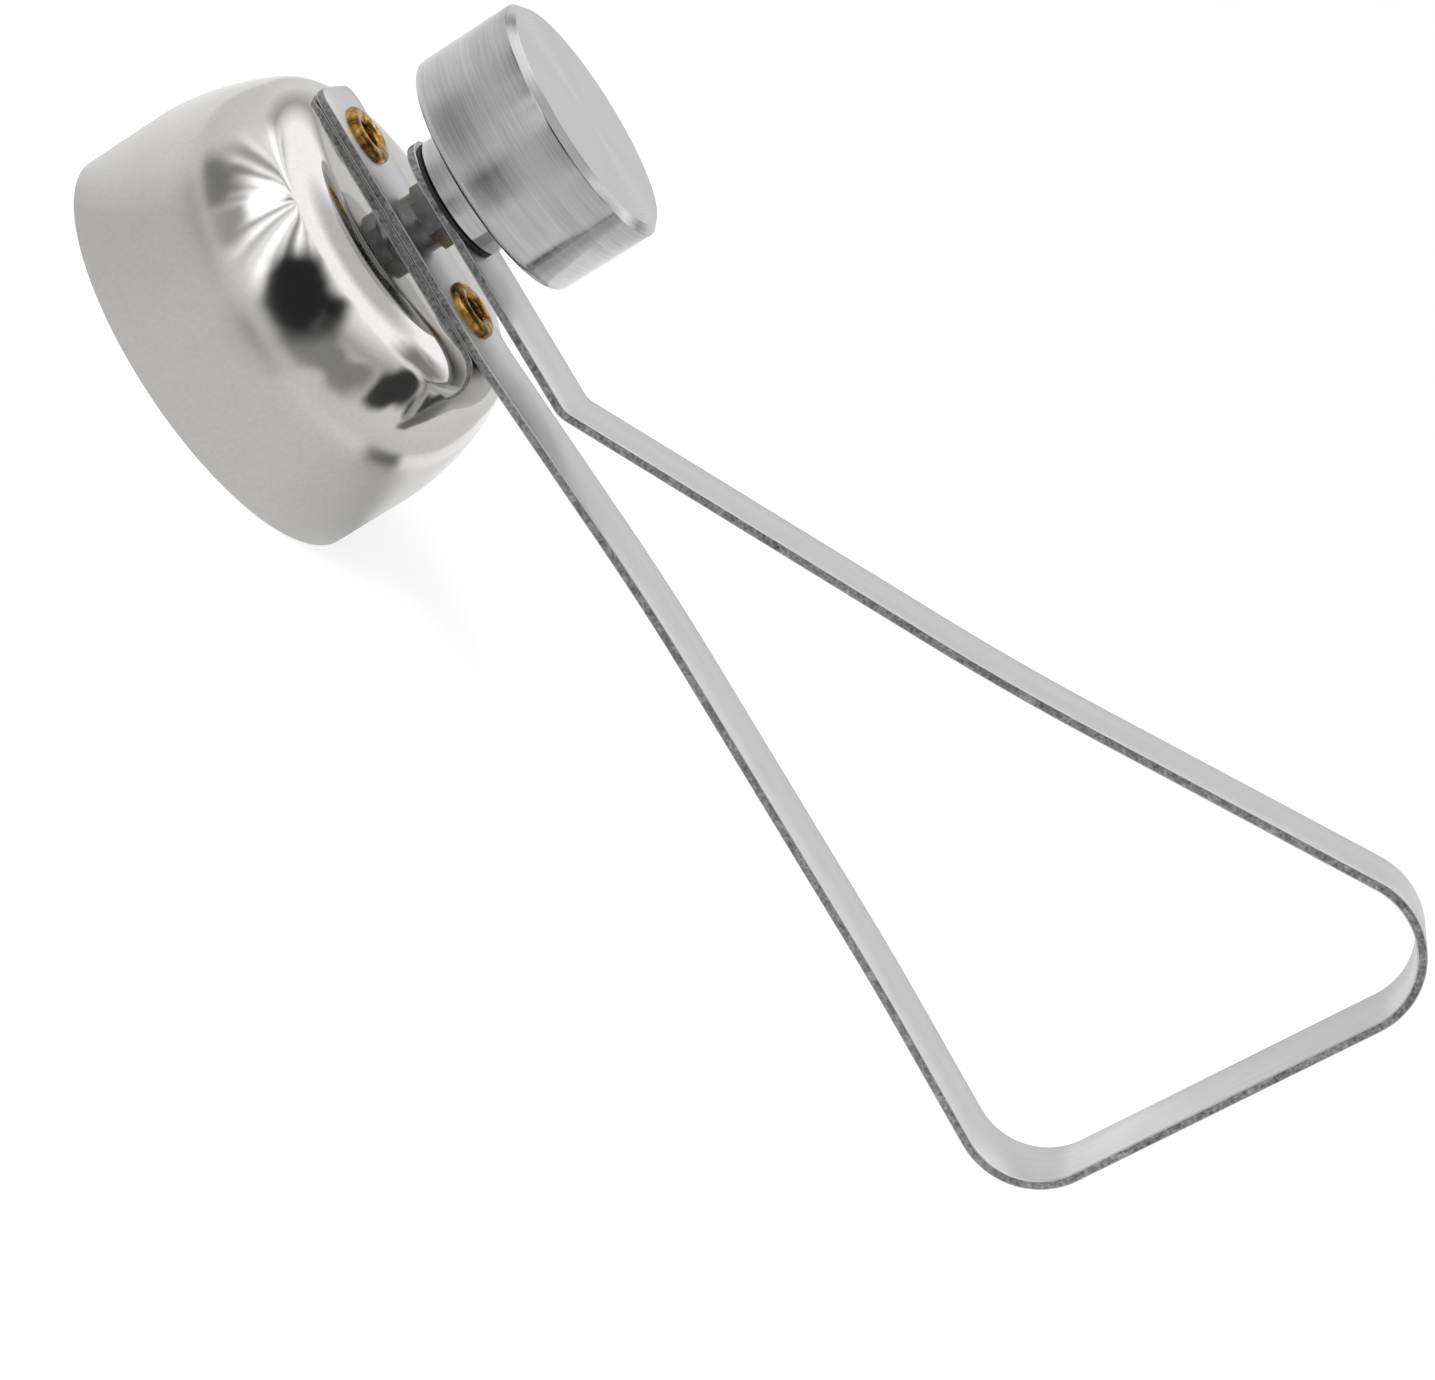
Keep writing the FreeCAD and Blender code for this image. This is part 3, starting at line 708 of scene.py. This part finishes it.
def make_floor():
    """Pale floor that takes the shadow and reads as white; in reflections it is swapped for a glow in soft
    bands, a painted reflection without the shadow.
    """
    bpy.ops.mesh.primitive_plane_add(size=FLOOR_SIZE, location=(0, 0, 0))
    floor = bpy.context.active_object
    floor.name = "floor"
    material, nodes, links, shader = new_material("floor_pale")
    shader.inputs["Base Color"].default_value = (0.86, 0.86, 0.86, 1)
    shader.inputs["Roughness"].default_value = 0.8
    shader.inputs["Specular IOR Level"].default_value = 0.1
    shader.inputs["Emission Color"].default_value = (1, 1, 1, 1)
    rays = nodes.new("ShaderNodeLightPath")
    glow = math_node(nodes, links, "MULTIPLY", rays.outputs["Is Camera Ray"], FLOOR_GLOW)
    links.new(glow, shader.inputs["Emission Strength"])
    where = nodes.new("ShaderNodeTexCoord")
    azimuth, _ = compass(nodes, links, where.outputs["Object"])
    turn = span(nodes, links, azimuth, -180, 180, 0, 1)
    turn.node.interpolation_type = "LINEAR"
    near, far = (ramp(nodes, links, turn, [((degrees + 180) / 360, shade) for degrees, shade in stops])
                 for stops in (NEAR_REFLECTION_GLOW, FAR_REFLECTION_GLOW))
    length = nodes.new("ShaderNodeVectorMath")
    length.operation = "LENGTH"
    links.new(where.outputs["Object"], length.inputs[0])
    reach = span(nodes, links, length.outputs["Value"], *REFLECTION_GLOW_CHANGE, 0, 1)
    # Painted reflection: for glossy rays the floor is only this banded glow, with no shadow
    reflection_glow = nodes.new("ShaderNodeEmission")
    glow_fade = span(nodes, links, length.outputs["Value"], *REFLECTION_GLOW_FADE, 0, 1)
    painted_reflection = mixed(nodes, links, glow_fade, mixed(nodes, links, reach, near, far), REFLECTION_GLOW_FADE_TONE)
    links.new(painted_reflection, reflection_glow.inputs["Color"])
    mix = nodes.new("ShaderNodeMixShader")
    links.new(rays.outputs["Is Glossy Ray"], mix.inputs["Fac"])
    links.new(shader.outputs["BSDF"], mix.inputs[1])
    links.new(reflection_glow.outputs["Emission"], mix.inputs[2])
    links.new(mix.outputs["Shader"], nodes["Material Output"].inputs["Surface"])
    floor.data.materials.append(material)


def make_camera():
    """The photograph's view: azimuth, elevation and roll about the line of sight."""
    azimuth, elevation, roll = (math.radians(a) for a in (VIEW_AZIMUTH, VIEW_ELEVATION, VIEW_ROLL))
    back = Vector((math.sin(azimuth) * math.cos(elevation), -math.cos(azimuth) * math.cos(elevation),
                   math.sin(elevation)))
    level = Vector((math.cos(azimuth), math.sin(azimuth), 0))
    upright = back.cross(level)
    right = level * math.cos(roll) + upright * math.sin(roll)
    data = bpy.data.cameras.new("photo_view")
    data.sensor_width = SENSOR_MM
    data.lens = FOCAL_PX / IMAGE_WIDTH_PX * SENSOR_MM
    data.clip_start, data.clip_end = 0.01, 20
    camera = bpy.data.objects.new("photo_view", data)
    bpy.context.scene.collection.objects.link(camera)
    turn = Matrix((right, back.cross(right), back)).transposed()
    camera.matrix_world = Matrix.Translation(CAMERA_PLACE) @ turn.to_4x4()
    bpy.context.scene.camera = camera


def dress():
    """Build the visible pieces and finish the construction's own."""
    strip, edge = strip_material(), edge_material()
    bell = bell_piece(bell_material())
    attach(bell, "root")
    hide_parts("bell")
    bar_x = CORNER_C[0] + (CORNER_B[0] - CORNER_C[0]) * (JOIN_Z - CORNER_C[1]) / (CORNER_B[1] - CORNER_C[1])
    join = (bar_x, JOIN_Z)
    lower = strip_piece(
        "strip_lower",
        [(HEAD_END_X, HEAD_Z), HEAD_FLAT_END, LEG_RISE, LEG_LOW, CORNER_C, join],
        [HEAD_BEND_R, BOW_R, BOW_R, CORNER_C_R], HEAD_CORNER_R, [strip, edge])
    drill(lower, [(0, HEAD_HOLE_R), (-RIVET_X, NOSE_HOLE_R), (RIVET_X, NOSE_HOLE_R)],
          HEAD_Z - 2 * STRIP_T, HEAD_Z + 2 * STRIP_T)
    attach(lower, "root")
    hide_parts("handle_loop")
    upper = strip_piece(
        "strip_upper",
        [(NOSE_END_X, NOSE_Z), (FULCRUM_X, NOSE_Z), BOW, CORNER_B, join],
        [FULCRUM_R, BOW_R, CORNER_B_R], STRIP_W / 2, [strip, edge])
    drill(upper, [(0, NOSE_HOLE_R)], NOSE_Z - 2 * STRIP_T, NOSE_Z + 2 * STRIP_T)
    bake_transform(upper)
    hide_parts("squeeze_lever", "handle_loop")
    knob = knob_piece(turned_material("knob_side", 0.53, 0.7), face_material())
    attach(knob, "spindle")
    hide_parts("knob")
    brass = brass_material()
    for name, node, x in (("rivet_ring_tip", "rivet_tip_side", -RIVET_X),
                          ("rivet_ring_handle", "rivet_handle_side", RIVET_X)):
        ring = rivet_piece(name, node, x, brass)
        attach(ring, "root")
        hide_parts(node)
    hardware = plain_metal("hardware_steel", 0.24, 0.34, 1200)
    spring = plain_metal("spring_steel", 0.4, 0.3, 700)
    near_black = near_black_material()
    for name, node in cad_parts.items():
        if name.startswith("claw_finger") or name == "claw_hub":
            finish = spring
        elif name == "thrust_washer":
            finish = near_black
        else:
            finish = hardware
        node.data.materials.clear()
        node.data.materials.append(finish)


dress()
make_world()
make_floor()
lamp("key", *KEY_LAMP)
lamp("fill", *FILL_LAMP)
make_camera()
bpy.context.scene.view_settings.view_transform = "Standard"
